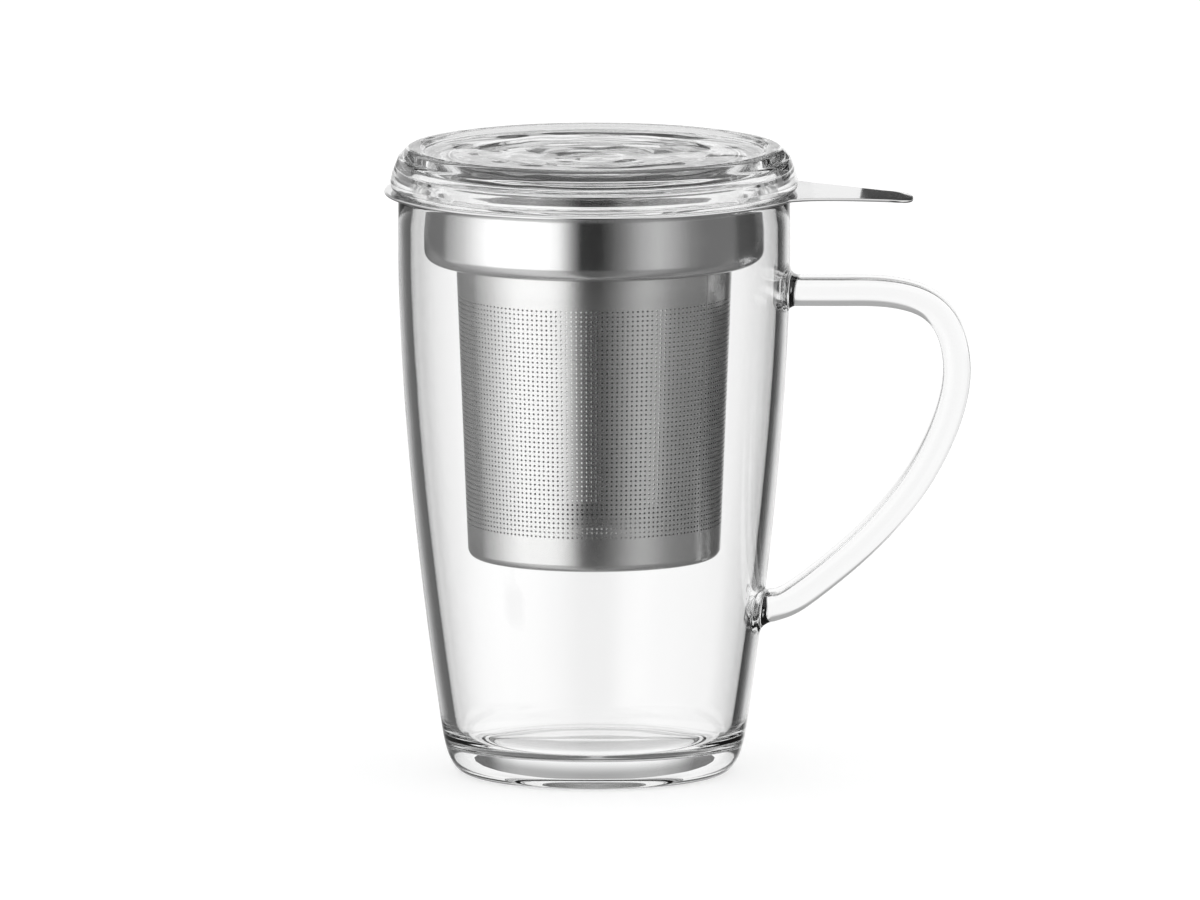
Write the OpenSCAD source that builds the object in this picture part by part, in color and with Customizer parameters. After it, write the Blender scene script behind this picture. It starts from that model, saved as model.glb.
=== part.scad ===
// Lidded tea mug with a hanging infuser.
// Origin: centre of the mug's base, on the surface it stands on.
// +Z up, +X towards the handle and the infuser's grip tab. Millimetres.

/* [Mug] */
// Height of the glass rim above the table
mug_h = 125.3; // [115:0.1:135]
// Outer radius of the glass at the rim
rim_r = 42.05; // [38:0.05:46]
// Thickness of the glass wall
wall_t = 2.6; // [2:0.1:3.2]
// Height of the inside floor above the table
floor_z = 6.4; // [5:0.1:8]
// Radius of the foot ring's outer edge on the table
foot_r = 27.2; // [25:0.1:28]
// Depth of the hollow under the base
punt_h = 3.4; // [1:0.1:4]

/* [Handle] */
// In-plane thickness of the handle bar
bar_t = 5.8; // [5:0.1:7]
// Front-to-back width of the bar at its upper root
bar_w_top = 11.4; // [10:0.1:13]
// Front-to-back width of the bar at its lower root
bar_w_low = 12.8; // [11:0.1:14]
// Rounding of the bar's long edges
bar_r = 1.3; // [0.8:0.1:2]
// Radius of the fused flare at both roots
root_r = 2.2; // [1:0.1:3]

/* [Infuser] */
// Thickness of the infuser's steel
steel_t = 0.6; // [0.5:0.05:0.8]
// Outer radius of the flange that rests on the rim
flange_r = 45; // [44:0.1:46]
// Outer radius of the collar below the flange
collar_r = 36.5; // [35:0.1:37.5]
// Depth of the collar below the top of the flange
collar_h = 15.2; // [13:0.1:17]
// Outer radius of the sleeve at its top
sleeve_r_top = 29.5; // [28:0.1:30.5]
// Outer radius of the sleeve at its bottom
sleeve_r_low = 27.1; // [25:0.1:28]
// Height of the basket's lowest point above the table
basket_z = 47; // [40:0.5:55]
// Reach of the grip tab from the axis
tab_x = 68.5; // [62:0.5:72]
// Drop of the grip tab's tip
tab_drop = 1.6; // [0:0.1:3]

/* [Lid] */
// Outer radius of the lid
lid_r = 43.7; // [43:0.1:44.2]
// Height of the lid's top ridge above its seat
lid_h = 9.3; // [8:0.1:11]
// Radius of the lid's top ridge
ridge_r = 39.5; // [37:0.1:40.5]
// Thickness of the lid's top plate
plate_t = 3.4; // [3:0.1:4]
// Outer radius of the locating ring inside the collar
spigot_r = 35.2; // [33:0.1:35.4]
// Depth of the locating ring below the seat
spigot_h = 3.5; // [2:0.1:5]

/* [Hidden] */
$fn = 96;

seat_z = mug_h + steel_t;          // top of the flange, where the lid sits
ledge_z = seat_z - collar_h;       // underside of the collar's ledge

// Outer radius of the glass at height z: upright near the rim, then drawn in
// more and more steeply towards the base.
function glass_r(z) = rim_r - 0.0045 * pow(max(0, 112 - z), 1.65);

// Quarter of an ellipse, centre c, radii r, from angle a0 to a1, in n steps
function arc(c, r, a0, a1, n) =
    [for (i = [0:n]) let (a = a0 + (a1 - a0) * i / n) [c[0] + r[0] * cos(a), c[1] + r[1] * sin(a)]];

// ---------------------------------------------------------------- mug body
corner_z = 8.5;                    // height where the base corner begins
inner_c = 5;                       // fillet between the inside wall and floor

function outer_side() = concat(
    arc([foot_r, corner_z], [glass_r(corner_z) - foot_r, corner_z], -90, 0, 8),
    [for (i = [1:13]) let (z = corner_z + (112 - corner_z) * i / 13) [glass_r(z), z]],
    [[rim_r, mug_h - 1.3]]);

function rim_round() = arc([rim_r - wall_t / 2, mug_h - wall_t / 2],
    [wall_t / 2, wall_t / 2], 0, 180, 8);

function inner_side() = concat(
    [[rim_r - wall_t, mug_h - 1.6]],
    [for (i = [13:-1:1]) let (z = 14.5 + (112 - 14.5) * i / 13) [glass_r(z) - wall_t - 0.006 * (112 - z), z]],
    arc([glass_r(14.5) - wall_t - 0.6 - inner_c, floor_z + inner_c],
        [inner_c, inner_c], 0, -90, 7),
    [[0, floor_z]]);

module mug_body() {
    color([0.86, 0.9, 0.9, 0.35])
        rotate_extrude($fn = 160)
            polygon(concat(
                [[0, punt_h], [foot_r - 6.2, punt_h], [foot_r - 3, punt_h * 0.4], [foot_r - 2.2, 0]],
                outer_side(), rim_round(), inner_side()));
}

// ------------------------------------------------------------- mug handle
// Middle of the bar, [x, z], from the upper root round to the lower root
path = [[41.2, 104.1], [44, 104.1], [48, 104.1], [54, 104.1], [61, 104], [66.7, 103.2], [71.6, 101.3],
        [75.2, 97.7], [77.2, 92.6], [77.8, 87], [77.1, 81.3], [75.3, 75.3], [72.6, 69.2],
        [69.2, 63.3], [64, 56.4], [57.6, 49.6], [51.2, 44], [45.6, 39.6], [40.8, 36.6],
        [38.4, 35.9], [35.3, 35.9]];
spans = len(path) - 1;
per = 3;                            // stations on each span
stations = spans * per;

function pt(i) = i < 0 ? 2 * path[0] - path[1]
    : i > spans ? 2 * path[spans] - path[spans - 1] : path[i];
function spline(i, t) = let (a = pt(i - 1), b = pt(i), c = pt(i + 1), d = pt(i + 2))
    0.5 * (2 * b + (c - a) * t + (2 * a - 5 * b + 4 * c - d) * t * t + (3 * b - a - 3 * c + d) * t * t * t);
function mid(k) = k >= stations ? path[spans] : spline(floor(k / per), (k % per) / per);
function run(k) = let (v = mid(min(k + 1, stations)) - mid(max(k - 1, 0))) v / norm(v);
// Flare added to the section near a root that meets the wall at x = x0
function flare(x, x0) = let (u = x - x0) u >= root_r ? 0
    : root_r - sqrt(root_r * root_r - pow(root_r - max(0, u), 2));
function grow(k) = mid(k)[1] > 70 ? flare(mid(k)[0], 41.8) : flare(mid(k)[0], 36.6);
function corners(hw, ht, r, n) = concat(
    arc([hw - r, ht - r], [r, r], 0, 90, n), arc([r - hw, ht - r], [r, r], 90, 180, n),
    arc([r - hw, r - ht], [r, r], 180, 270, n), arc([hw - r, r - ht], [r, r], 270, 360, n));
function ring(k) = let (m = mid(k), t = run(k), g = grow(k),
    w = bar_w_top + (bar_w_low - bar_w_top) * k / stations,
    s = corners(w / 2 + g, bar_t / 2 + g, bar_r + g * 0.6, 4))
    [for (p = s) [m[0] - t[1] * p[1], p[0], m[1] + t[0] * p[1]]];
sides = 20;

module mug_handle() {
    rings = [for (k = [0:stations]) ring(k)];
    color([0.86, 0.9, 0.9, 0.35])
        polyhedron(
            points = [for (r = rings) each r],
            faces = concat(
                [[for (j = [0:sides - 1]) j]],
                [for (k = [0:stations - 1], j = [0:sides - 1])
                    let (a = k * sides + j, b = k * sides + (j + 1) % sides)
                    [a, a + sides, b + sides, b]],
                [[for (j = [sides - 1:-1:0]) stations * sides + j]]),
            convexity = 6);
}

// --------------------------------------------------------- infuser collar
neck_h = 2.4;                      // short neck that the sleeve slips over
ledge_c = 3;                       // rounding between the collar and its ledge

module collar_shell() {
    t = steel_t;
    r = collar_r;
    zt = seat_z;
    zl = ledge_z;
    rn = sleeve_r_top - t - 0.05;  // outer radius of the neck
    rotate_extrude($fn = 128)
        polygon(concat(
            // top of the flange, inwards
            [[flange_r - 0.3, zt], [flange_r, zt - 0.3], [flange_r, zt - t + 0.1], [flange_r - 0.1, zt - t]],
            // underside of the flange, then down the outside of the collar
            arc([r + 1.2, zt - t - 1.2], [1.2, 1.2], 90, 180, 5),
            arc([r - ledge_c, zl + ledge_c], [ledge_c, ledge_c], 0, -90, 7),
            // ledge, then the neck
            [[rn, zl], [rn, zl - neck_h], [rn - t, zl - neck_h]],
            [[rn - t, zl + t - 0.4], [rn - t + 0.4, zl + t]],
            arc([r - ledge_c, zl + ledge_c], [ledge_c - t, ledge_c - t], -90, 0, 7),
            arc([r + 1.2, zt - t - 1.2], [1.2 + t, 1.2 + t], 180, 90, 5)));
}

// Grip tab: one stamping with the flange. It narrows towards its rounded
// tip and bends gently down.
function tab_half(x) = x > 63.5 ? 0 : 16.5 - 9.2 * pow((x - 43) / 20.5, 0.62);
module tab_outline() {
    edge = [for (i = [0:10]) let (x = 43 + 20.5 * i / 10) [x, tab_half(x)]];
    tip = arc([tab_x - 5, 0], [5, 7.3], 90, -90, 12);
    polygon(concat([[40, 16.5]], edge, tip,
        [for (i = [10:-1:0]) [edge[i][0], -edge[i][1]]], [[40, -16.5]]));
}
module tab() {
    // side profile of the bent sheet, as a slice through the whole outline
    n = 12;
    function drop(x) = tab_drop * pow(max(0, (x - 42) / (tab_x - 42)), 1.15);
    xs = [for (i = [0:n]) 40 + (tab_x - 40 + 1) * i / n];
    intersection() {
        translate([0, 0, seat_z - 10]) linear_extrude(20) tab_outline();
        rotate([90, 0, 0]) translate([0, 0, -30]) linear_extrude(60)
            polygon(concat(
                [for (x = xs) [x, seat_z - drop(x)]],
                [for (i = [n:-1:0]) [xs[i], seat_z - steel_t - drop(xs[i])]]));
    }
}

module infuser_collar() {
    color([0.78, 0.79, 0.8])
        union() {
            collar_shell();
            difference() {
                tab();
                translate([0, 0, seat_z - 12]) cylinder(r = collar_r + 2.5, h = 24, $fn = 128);
            }
        }
}

// ---------------------------------------------------------- basket sleeve
sleeve_top = ledge_z;
sleeve_low = basket_z + 1.6;

module basket_sleeve() {
    color([0.68, 0.69, 0.7])
        rotate_extrude($fn = 128)
            polygon([
                [sleeve_r_top, sleeve_top], [sleeve_r_top, sleeve_top - 3],
                [sleeve_r_low, sleeve_low], [sleeve_r_low - steel_t, sleeve_low],
                [sleeve_r_top - steel_t, sleeve_top - 3], [sleeve_r_top - steel_t, sleeve_top]]);
}

// ------------------------------------------------------------ basket base
module basket_base() {
    r = sleeve_r_low;
    t = steel_t;
    c = 1.6;                       // rounding of the bottom edge
    ri = r - t - 0.02;             // upstand that fits inside the sleeve
    color([0.68, 0.69, 0.7])
        rotate_extrude($fn = 128)
            polygon(concat(
                [[0, basket_z + 0.8], [r - 6, basket_z + 0.3]],
                arc([r - c, basket_z + c], [c, c], -90, 0, 6),
                [[ri, sleeve_low], [ri, sleeve_low + 2.6], [ri - t, sleeve_low + 2.6]],
                arc([r - c - t, basket_z + c], [c - 0.1, c - t], 0, -90, 6),
                [[r - 6, basket_z + 0.3 + t], [0, basket_z + 0.8 + t]]));
}

// -------------------------------------------------------------------- lid
module lid() {
    z = seat_z;
    h = z + lid_h;
    r = lid_r;
    p = ridge_r;
    under = z + 4.8;               // underside of the plate
    color([0.86, 0.9, 0.9, 0.35])
        rotate_extrude($fn = 160)
            polygon(concat(
                // dished centre, flat band and raised ridge
                [for (i = [0:8]) [3 * i, z + 6.9 + 1.1 * pow(i / 8, 2)]],
                [[25.2, z + 8.25], [36.4, z + 8.35], [37.1, h - 0.35], [37.7, h - 0.06], [38.2, h]],
                arc([p - 0.4, h - 1.4], [1.5, 1.4], 90, 28, 5),
                // sloping shoulder and upright edge
                [[r - 0.35, z + 3.1]],
                arc([r - 1.2, z + 2.2], [1.2, 1.2], 20, 0, 2),
                arc([r - 1.4, z + 1.4], [1.4, 1.4], 0, -90, 6),
                // seat on the flange, groove, locating ring
                [[39.9, z], [39.2, z + 0.6], [38.6, under - 1.5], [37.6, under - 0.4],
                 [36.6, under - 0.4], [spigot_r + 0.5, under - 1.4],
                 [spigot_r, z - spigot_h + 0.8], [spigot_r - 0.8, z - spigot_h],
                 [spigot_r - 2.2, z - spigot_h], [spigot_r - 3, z - spigot_h + 0.8],
                 [spigot_r - 3.6, under - 1.2], [spigot_r - 4.8, under],
                 [25, under - 0.1]],
                [for (i = [6:-1:0]) [4 * i, z + 6.9 - plate_t + 1.3 * pow(i / 6, 2)]]));
}

mug_body();
mug_handle();
infuser_collar();
basket_sleeve();
basket_base();
lid();
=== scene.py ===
import bpy, math
import numpy as np
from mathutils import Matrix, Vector, noise
from mathutils.geometry import delaunay_2d_cdt


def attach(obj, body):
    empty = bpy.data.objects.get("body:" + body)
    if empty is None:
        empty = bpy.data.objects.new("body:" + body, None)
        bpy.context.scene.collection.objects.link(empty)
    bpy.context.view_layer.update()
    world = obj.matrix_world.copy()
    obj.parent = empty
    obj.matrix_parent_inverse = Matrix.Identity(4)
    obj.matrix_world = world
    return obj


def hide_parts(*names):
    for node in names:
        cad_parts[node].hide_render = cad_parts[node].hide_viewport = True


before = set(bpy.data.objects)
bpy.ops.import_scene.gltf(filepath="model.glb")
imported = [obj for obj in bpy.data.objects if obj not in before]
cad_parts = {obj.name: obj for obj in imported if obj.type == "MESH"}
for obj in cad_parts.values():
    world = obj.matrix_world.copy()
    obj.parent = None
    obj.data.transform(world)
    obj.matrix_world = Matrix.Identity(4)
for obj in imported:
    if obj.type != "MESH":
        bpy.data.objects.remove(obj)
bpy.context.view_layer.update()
MM = 0.001

# ------------------------------------------------------------------ camera
# The photograph looks along +Y, 8.2 degrees down, from far away: 4.66 pixels
# to the millimetre at the target, which is the middle of the image.
cam_data = bpy.data.cameras.new("camera")
cam = bpy.data.objects.new("camera", cam_data)
bpy.context.scene.collection.objects.link(cam)
DIST, TILT, SCALE = 7.0, math.radians(8.2), 4.66
cam_data.sensor_width = 36.0
cam_data.lens = 36.0 * SCALE * DIST * 1000.0 / 1200.0
cam.location = (0.00125, -DIST * math.cos(TILT), 0.0695 + DIST * math.sin(TILT))
cam.rotation_euler = (math.radians(90) - TILT, 0.0, 0.0)
cam_data.clip_start, cam_data.clip_end = 0.1, 60.0
bpy.context.scene.camera = cam

# --------------------------------------------- sizes, as in the CAD source
mug_h, rim_r, wall_t, floor_z, foot_r, punt_h = 125.3, 42.05, 2.6, 6.4, 27.2, 3.4
bar_t, bar_w_top, bar_w_low, bar_r = 5.8, 11.4, 12.8, 2.1
steel_t, flange_r, collar_r, collar_h = 0.6, 45.0, 36.5, 15.2
sleeve_r_top, sleeve_r_low, basket_z = 29.5, 27.1, 47.0
tab_x, tab_drop = 68.5, 1.6
lid_r, lid_h, ridge_r, plate_t, spigot_r, spigot_h = 43.7, 9.3, 39.5, 3.4, 35.2, 3.5
seat_z = mug_h + steel_t
ledge_z = seat_z - collar_h
sleeve_low = basket_z + 1.6


def glass_r(z):
    return rim_r - 0.0045 * max(0.0, 112.0 - z) ** 1.65


# ---------------------------------------------------------------- helpers
def rounded(points, run=2.0, step=9.0):
    """A polyline [(r, z, fillet)] with its corners rounded and its straight runs divided."""
    p = [np.array(q[:2], float) for q in points]
    rad = [q[2] if len(q) > 2 else 0.0 for q in points]
    out = [p[0]]
    for i in range(1, len(p)):
        last = i == len(p) - 1
        if last or rad[i] <= 0:
            target, arc = p[i], []
        else:
            a, b = p[i - 1] - p[i], p[i + 1] - p[i]
            la, lb = np.linalg.norm(a), np.linalg.norm(b)
            a, b = a / la, b / lb
            cosang = float(np.clip(a @ b, -1, 1))
            half = math.acos(cosang) / 2
            cut = rad[i] / math.tan(half) if half < math.pi / 2 - 1e-4 else 0.0
            cut = min(cut, la * 0.49, lb * 0.49)
            r = cut * math.tan(half)
            if cut < 1e-6:
                target, arc = p[i], []
            else:
                c = p[i] + (a + b) / np.linalg.norm(a + b) * (r / math.sin(half))
                t0, t1 = p[i] + a * cut, p[i] + b * cut
                a0 = math.atan2(*(t0 - c)[::-1])
                a1 = math.atan2(*(t1 - c)[::-1])
                d = (a1 - a0 + math.pi) % (2 * math.pi) - math.pi
                n = max(2, int(abs(math.degrees(d)) / step) + 1)
                arc = [c + r * np.array((math.cos(a0 + d * k / n), math.sin(a0 + d * k / n))) for k in range(1, n + 1)]
                target = t0
        start = out[-1]
        length = np.linalg.norm(target - start)
        n = max(1, int(math.ceil(length / run)))
        out += [start + (target - start) * k / n for k in range(1, n + 1)]
        out += arc
    keep = [out[0]]
    for q in out[1:]:
        if np.linalg.norm(q - keep[-1]) > 1e-4:
            keep.append(q)
    return [(float(q[0]), float(q[1])) for q in keep]


def bezier(p0, p1, p2, p3, n):
    p0, p1, p2, p3 = (np.array(q, float) for q in (p0, p1, p2, p3))
    out = []
    for k in range(n + 1):
        t = k / n
        q = (1 - t) ** 3 * p0 + 3 * (1 - t) ** 2 * t * p1 + 3 * (1 - t) * t * t * p2 + t**3 * p3
        out.append((float(q[0]), float(q[1])))
    return out


def wave(x, y, z, size, seed=0.0):
    return noise.noise(Vector((x / size + seed, y / size - seed, z / size + 2 * seed)))


def make(name, verts, faces, mats=(), mat_index=None, sharp=40.0, flip=None):
    """A mesh object from millimetre points."""
    me = bpy.data.meshes.new(name)
    me.from_pydata([(v[0] * MM, v[1] * MM, v[2] * MM) for v in verts], [], faces)
    me.polygons.foreach_set("use_smooth", [True] * len(me.polygons))
    for m in mats:
        me.materials.append(m)
    if mat_index is not None:
        me.polygons.foreach_set("material_index", mat_index)
    me.validate()
    me.update()
    if flip is None:
        # signed volume decides which way the faces point
        me.calc_loop_triangles()
        n = len(me.loop_triangles)
        idx = np.empty(n * 3, np.int32)
        me.loop_triangles.foreach_get("vertices", idx)
        co = np.empty(len(me.vertices) * 3)
        me.vertices.foreach_get("co", co)
        co, idx = co.reshape(-1, 3), idx.reshape(-1, 3)
        vol = np.einsum("ij,ij->i", co[idx[:, 0]], np.cross(co[idx[:, 1]], co[idx[:, 2]])).sum()
        flip = vol < 0
    if flip:
        me.flip_normals()
    if sharp:
        me.set_sharp_from_angle(angle=math.radians(sharp))
    ob = bpy.data.objects.new(name, me)
    bpy.context.scene.collection.objects.link(ob)
    return ob


# -------------------------------------------------------------- materials
def new_mat(name):
    m = bpy.data.materials.new(name)
    m.use_nodes = True
    nt = m.node_tree
    nt.nodes.clear()
    return m, nt


def node(nt, kind, **props):
    n = nt.nodes.new(kind)
    for k, v in props.items():
        setattr(n, k, v)
    return n


def glass(name, waves, depth, tint, absorb):
    m, nt = new_mat(name)
    out = node(nt, "ShaderNodeOutputMaterial")
    p = node(nt, "ShaderNodeBsdfPrincipled")
    p.inputs["Base Color"].default_value = (*tint, 1)
    p.inputs["Roughness"].default_value = 0.0
    p.inputs["IOR"].default_value = 1.474
    p.inputs["Transmission Weight"].default_value = 1.0
    co = node(nt, "ShaderNodeTexCoord")
    n1 = node(nt, "ShaderNodeTexNoise")
    n1.inputs["Scale"].default_value = 1.0 / (waves * MM)
    n1.inputs["Detail"].default_value = 1.5
    n1.inputs["Roughness"].default_value = 0.4
    n1.inputs["Distortion"].default_value = 0.6
    nt.links.new(co.outputs["Object"], n1.inputs["Vector"])
    b = node(nt, "ShaderNodeBump")
    b.inputs["Strength"].default_value = 1.0
    b.inputs["Distance"].default_value = depth * MM
    nt.links.new(n1.outputs["Fac"], b.inputs["Height"])
    nt.links.new(b.outputs["Normal"], p.inputs["Normal"])
    t = node(nt, "ShaderNodeBsdfTransparent")
    t.inputs["Color"].default_value = (0.95, 0.955, 0.955, 1)
    lp = node(nt, "ShaderNodeLightPath")
    mix = node(nt, "ShaderNodeMixShader")
    nt.links.new(lp.outputs["Is Shadow Ray"], mix.inputs[0])
    nt.links.new(p.outputs[0], mix.inputs[1])
    nt.links.new(t.outputs[0], mix.inputs[2])
    nt.links.new(mix.outputs[0], out.inputs["Surface"])
    if absorb:
        v = node(nt, "ShaderNodeVolumeAbsorption")
        v.inputs["Color"].default_value = (0.80, 0.86, 0.85, 1)
        v.inputs["Density"].default_value = absorb
        nt.links.new(v.outputs[0], out.inputs["Volume"])
    return m


def steel(name, colour, rough, spread, aniso, lines, line_depth, around=True):
    """Brushed steel: fine lines round the axis, with cloudy wear. The around argument is not used."""
    m, nt = new_mat(name)
    out = node(nt, "ShaderNodeOutputMaterial")
    p = node(nt, "ShaderNodeBsdfPrincipled")
    p.inputs["Metallic"].default_value = 1.0
    p.inputs["Anisotropic"].default_value = aniso
    p.inputs["Anisotropic Rotation"].default_value = 0.25
    tan = node(nt, "ShaderNodeTangent", direction_type="RADIAL", axis="Z")
    nt.links.new(tan.outputs[0], p.inputs["Tangent"])
    co = node(nt, "ShaderNodeTexCoord")
    sep = node(nt, "ShaderNodeSeparateXYZ")
    nt.links.new(co.outputs["Object"], sep.inputs[0])
    # radius and height make the brush lines, the angle hardly counts
    r2 = node(nt, "ShaderNodeVectorMath", operation="LENGTH")
    flat = node(nt, "ShaderNodeCombineXYZ")
    nt.links.new(sep.outputs[0], flat.inputs[0])
    nt.links.new(sep.outputs[1], flat.inputs[1])
    nt.links.new(flat.outputs[0], r2.inputs[0])
    ang = node(nt, "ShaderNodeMath", operation="ARCTAN2")
    nt.links.new(sep.outputs[1], ang.inputs[0])
    nt.links.new(sep.outputs[0], ang.inputs[1])
    small = node(nt, "ShaderNodeMath", operation="MULTIPLY")
    small.inputs[1].default_value = 0.0016
    nt.links.new(ang.outputs[0], small.inputs[0])
    vec = node(nt, "ShaderNodeCombineXYZ")
    nt.links.new(r2.outputs["Value"], vec.inputs[0])
    nt.links.new(small.outputs[0], vec.inputs[1])
    nt.links.new(sep.outputs[2], vec.inputs[2])
    grain = node(nt, "ShaderNodeTexNoise")
    grain.inputs["Scale"].default_value = lines
    grain.inputs["Detail"].default_value = 3.0
    grain.inputs["Roughness"].default_value = 0.65
    nt.links.new(vec.outputs[0], grain.inputs["Vector"])
    cloud = node(nt, "ShaderNodeTexNoise")
    cloud.inputs["Scale"].default_value = 90.0
    cloud.inputs["Detail"].default_value = 3.0
    nt.links.new(co.outputs["Object"], cloud.inputs["Vector"])
    add = node(nt, "ShaderNodeMath", operation="MULTIPLY_ADD")
    add.inputs[1].default_value = 0.5
    nt.links.new(grain.outputs["Fac"], add.inputs[0])
    half = node(nt, "ShaderNodeMath", operation="MULTIPLY")
    half.inputs[1].default_value = 0.5
    nt.links.new(cloud.outputs["Fac"], half.inputs[0])
    nt.links.new(half.outputs[0], add.inputs[2])
    mr = node(nt, "ShaderNodeMapRange")
    mr.inputs["From Min"].default_value = 0.3
    mr.inputs["From Max"].default_value = 0.7
    mr.inputs["To Min"].default_value = rough - spread
    mr.inputs["To Max"].default_value = rough + spread
    nt.links.new(add.outputs[0], mr.inputs["Value"])
    nt.links.new(mr.outputs[0], p.inputs["Roughness"])
    ramp = node(nt, "ShaderNodeMix", data_type="RGBA")
    ramp.inputs["A"].default_value = (*[c * 0.93 for c in colour], 1)
    ramp.inputs["B"].default_value = (*colour, 1)
    nt.links.new(add.outputs[0], ramp.inputs["Factor"])
    nt.links.new(ramp.outputs["Result"], p.inputs["Base Color"])
    b = node(nt, "ShaderNodeBump")
    b.inputs["Strength"].default_value = 1.0
    b.inputs["Distance"].default_value = line_depth * MM
    nt.links.new(grain.outputs["Fac"], b.inputs["Height"])
    nt.links.new(b.outputs["Normal"], p.inputs["Normal"])
    nt.links.new(p.outputs[0], out.inputs["Surface"])
    return m


mat_mug = glass("mug_glass_clear", 16.0, 0.015, (1.0, 1.0, 1.0), 1.2)
mat_lid = glass("lid_glass_clear", 13.0, 0.10, (1.0, 1.0, 1.0), 1.2)
mat_collar = steel("collar_steel_spun", (0.80, 0.80, 0.80), 0.125, 0.015, 0.6, 9000.0, 0.0004)
# the inside of the collar: the same steel made darker, painted shade
mat_bowl_painted_shade = steel("collar_steel_inside_painted_shade", (0.30, 0.30, 0.30), 0.09, 0.015, 0.6, 9000.0, 0.0004)
mat_tab = steel("tab_steel_polished", (0.80, 0.80, 0.80), 0.07, 0.015, 0.0, 2500.0, 0.0002)
mat_sleeve = steel("sleeve_steel_perforated", (0.74, 0.74, 0.735), 0.25, 0.02, 0.5, 9000.0, 0.0005)
# the inside of the sleeve: the same steel made darker, painted shade
mat_inner_painted_shade = steel("sleeve_steel_inside_painted_shade", (0.36, 0.36, 0.36), 0.34, 0.02, 0.4, 9000.0, 0.0005)

# ---------------------------------------------------------- glass mug body
N = 256
theta = [2 * math.pi * k / N for k in range(N)]


def outer_curve():
    """Outside of the glass, from the foot ring to the rim, [(r, z)]."""
    z1 = 10.0
    r1, slope = glass_r(z1), (glass_r(z1 + 0.5) - glass_r(z1 - 0.5))
    pts = bezier((foot_r, 0), (foot_r + 3.3, 0), (r1 - slope * 5.8, z1 - 5.8), (r1, z1), 18)
    rows = [z1 + (112.0 - z1) * k / 62 for k in range(1, 63)]
    pts += [(glass_r(z), z) for z in rows]
    pts += [(rim_r, 116.0), (rim_r, 120.0), (rim_r, mug_h - 1.3)]
    return pts


def inner_curve():
    pts = []
    z_c = 11.9
    zs = [112.0 - (112.0 - z_c) * k / 48 for k in range(0, 49)]
    pts += [(rim_r - wall_t, mug_h - 1.5), (rim_r - wall_t, 119.0)]
    pts += [(glass_r(z) - wall_t - 0.005 * (112.0 - z), z) for z in zs]
    r0, z0 = pts[-1]
    slope = (pts[-2][0] - r0) / (pts[-2][1] - z0)
    r_flat = r0 - 4.8
    pts += bezier((r0, z0), (r0 - slope * 3.3, z0 - 3.3), (r_flat + 2.9, floor_z), (r_flat, floor_z), 18)[1:]
    pts += [(r_flat * (1 - k / 14), floor_z) for k in range(1, 15)]
    return pts


outer = outer_curve()
rim = [(rim_r - wall_t / 2 + wall_t / 2 * math.cos(math.radians(a)), mug_h - wall_t / 2 + wall_t / 2 * math.sin(math.radians(a))) for a in np.linspace(0, 180, 15)][1:-1]
inner = inner_curve()
under = [(0.0, punt_h)] + [(float(r), punt_h) for r in np.linspace(3, 21.0, 7)]
under += bezier((21.0, punt_h), (23.7, punt_h), (24.7, punt_h * 0.5), (25.0, 0.0), 12)[1:] + [(26.1, 0.0)]
profile = under + outer + rim + inner
n_under = len(under)

verts, faces = [], []
ring_at = []
for i, (r, z) in enumerate(profile):
    if r < 1e-6:
        ring_at.append([len(verts)])
        verts.append([0.0, 0.0, z])
        continue
    ring_at.append(list(range(len(verts), len(verts) + N)))
    for t in theta:
        verts.append([r * math.cos(t), r * math.sin(t), z])

row_z = [z for r, z in outer]


def wall_r(z):
    """Radius of the outside at height z, on the rows' own straight runs."""
    zs = row_z
    for a in range(len(zs) - 1):
        if zs[a] <= z <= zs[a + 1]:
            t = (z - zs[a]) / (zs[a + 1] - zs[a])
            return outer[a][0] + (outer[a + 1][0] - outer[a][0]) * t
    return rim_r


def wall_x(y, z):
    return math.sqrt(wall_r(z) ** 2 - y * y)


# -- handle ------------------------------------------------------------------
path = [[41.2, 104.1], [44, 104.1], [48, 104.1], [54, 104.1], [61, 104], [66.7, 103.2], [71.6, 101.3],
        [75.2, 97.7], [77.2, 92.6], [77.8, 87], [77.1, 81.3], [75.3, 75.3], [72.6, 69.2],
        [69.2, 63.3], [64, 56.4], [57.6, 49.6], [51.2, 44], [45.6, 39.6], [40.8, 36.6],
        [38.4, 35.9], [35.3, 35.9]]


def cubic(points):
    """Natural cubic spline through the points, over chord length."""
    p = np.array(points, float)
    s = np.concatenate([[0], np.cumsum(np.linalg.norm(np.diff(p, axis=0), axis=1))])
    n, h = len(p), np.diff(s)
    A, B = np.zeros((n, n)), np.zeros((n, 2))
    A[0, 0] = A[-1, -1] = 1
    for i in range(1, n - 1):
        A[i, i - 1], A[i, i], A[i, i + 1] = h[i - 1], 2 * (h[i - 1] + h[i]), h[i]
        B[i] = 6 * ((p[i + 1] - p[i]) / h[i] - (p[i] - p[i - 1]) / h[i - 1])
    M = np.linalg.solve(A, B)

    def at(q):
        i = int(min(max(np.searchsorted(s, q) - 1, 0), n - 2))
        a, b = s[i + 1] - q, q - s[i]
        return (M[i] * a**3 + M[i + 1] * b**3) / (6 * h[i]) + (p[i] / h[i] - M[i] * h[i] / 6) * a + (p[i + 1] / h[i] - M[i + 1] * h[i] / 6) * b

    return at, s[-1]


bar_at, bar_len = cubic(path)


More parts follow.
